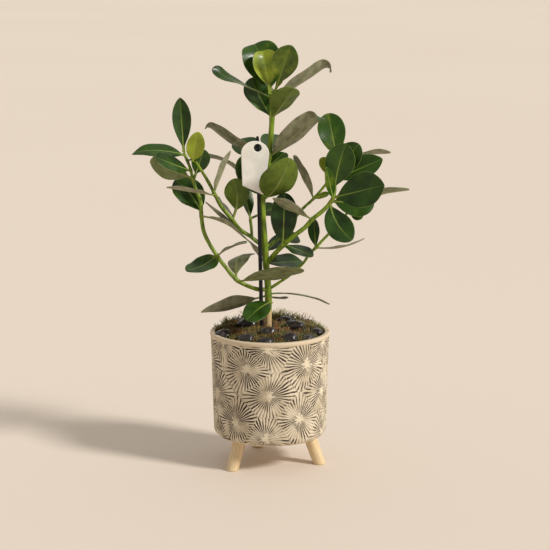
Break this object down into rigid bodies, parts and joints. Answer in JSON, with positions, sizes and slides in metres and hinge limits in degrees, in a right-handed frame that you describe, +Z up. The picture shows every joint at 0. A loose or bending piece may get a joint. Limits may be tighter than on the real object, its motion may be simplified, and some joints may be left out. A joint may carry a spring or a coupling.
{
  "type": "potted clusia",
  "caption": "Young clusia shrub with thick paired leaves in a round carved pot on splayed wooden pegs, with moss, pebbles, a stake and a hanging tag.",
  "frame": {"origin": "on the floor, under the middle of the object's bounding box; the pot's axis is about a millimetre from it", "axes": "+Z up along the pot's axis and the plant's height, -Y towards the side with the tag, +X to the right seen from that side"},
  "size_m": [0.3094, 0.135, 0.4758],
  "materials": {
    "glazed_clay": "matt, carved brown on cream",
    "turned_wood": "satin varnish",
    "soil": "crumbly, matt",
    "moss": "dry and wispy",
    "pebble": "polished",
    "black_plastic": "satin",
    "card": "uncoated card",
    "stem": "fleshy, satin",
    "leaf_upper": "waxy, satin gloss",
    "leaf_young": "waxy, satin gloss",
    "leaf_underside": "matt, pale olive"
  },
  "bodies": {
    "root": {"arch_leaf_across": "leaf_upper", "arch_leaf_curled": "leaf_underside", "arch_leaf_far_left": "leaf_upper", "arch_leaf_glossy": "leaf_upper", "arch_leaf_low_left": "leaf_upper", "arch_leaf_low_right": "leaf_underside", "arch_leaf_olive": "leaf_underside", "arch_leaf_shaded": "leaf_upper", "arch_leaf_thin": "leaf_upper", "arch_leaf_upright": "leaf_upper", "crown_leaf_back": "leaf_upper", "crown_leaf_far_left": "leaf_underside", "crown_leaf_far_right": "leaf_underside", "crown_leaf_inner": "leaf_young", "crown_leaf_low_left": "leaf_upper", "crown_leaf_low_right": "leaf_underside", "crown_leaf_right": "leaf_upper", "left_arching_stem": "stem", "left_leaf_long": "leaf_underside", "left_leaf_olive": "leaf_underside", "left_leaf_pale": "leaf_underside", "left_leaf_slim": "leaf_upper", "left_leaf_yellow": "leaf_young", "left_upright_stem": "stem", "low_leaf_front": "leaf_upper", "low_leaf_left": "leaf_underside", "low_leaf_right": "leaf_upper", "low_stem_leaf_right": "leaf_upper", "low_stem_leaf_tip": "leaf_underside", "main_stem": "stem", "mid_leaf_behind_tag": "leaf_upper", "mid_leaf_front": "leaf_underside", "mid_leaf_left": "leaf_underside", "mid_leaf_right": "leaf_underside", "moss": "moss", "pebble_front": "pebble", "pebble_front_left": "pebble", "pebble_right": "pebble", "peg_1": "turned_wood", "peg_2": "turned_wood", "peg_3": "turned_wood", "pot": "glazed_clay", "right_leaf_broad": "leaf_upper", "right_leaf_dark": "leaf_upper", "right_leaf_glossy": "leaf_upper", "right_leaf_hanging": "leaf_upper", "right_leaf_inward": "leaf_underside", "right_leaf_shaded": "leaf_upper", "right_leaf_upright": "leaf_upper", "right_low_stem": "stem", "right_stem": "stem", "right_thin_stem": "stem", "soil": "soil", "stake": "black_plastic", "tag": "card", "tag_loop": "black_plastic", "thin_leaf_grey": "leaf_underside", "thin_leaf_pointed": "leaf_upper", "thin_leaf_slim": "leaf_upper"}
  },
  "joints": []
}
